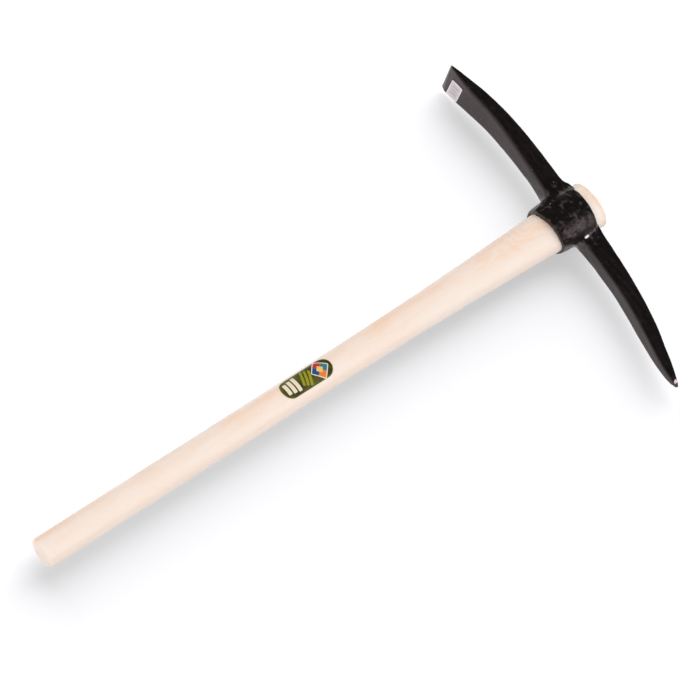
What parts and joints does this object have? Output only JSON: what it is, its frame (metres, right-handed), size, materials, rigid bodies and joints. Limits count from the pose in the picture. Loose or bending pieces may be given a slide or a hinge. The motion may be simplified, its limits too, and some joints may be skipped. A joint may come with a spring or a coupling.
{
  "type": "pick axe",
  "caption": "Two-handed digging pick: a forged black head with a chisel and a point, slid onto a long swelling wooden handle that passes through its eye.",
  "frame": {"origin": "centre of the flat butt of the handle", "axes": "+X along the handle from the butt to the head, +Y towards the chisel, +Z square to the head"},
  "size_m": [0.9, 0.5199, 0.0634],
  "materials": {
    "ash_wood": "sanded and lightly oiled",
    "black_steel": "semi-gloss paint on forged steel",
    "label_print": "printed, glossy",
    "label_paper": "matt"
  },
  "bodies": {
    "handle": {"handle": "ash_wood", "handle_label": "label_print"},
    "head": {"pick_head": "black_steel", "blade_label": "label_paper"}
  },
  "joints": [
    {"name": "head_slide", "type": "slide", "parent": "handle", "child": "head", "axis": [-1, 0, 0], "range_m": [0, 0.9]}
  ]
}
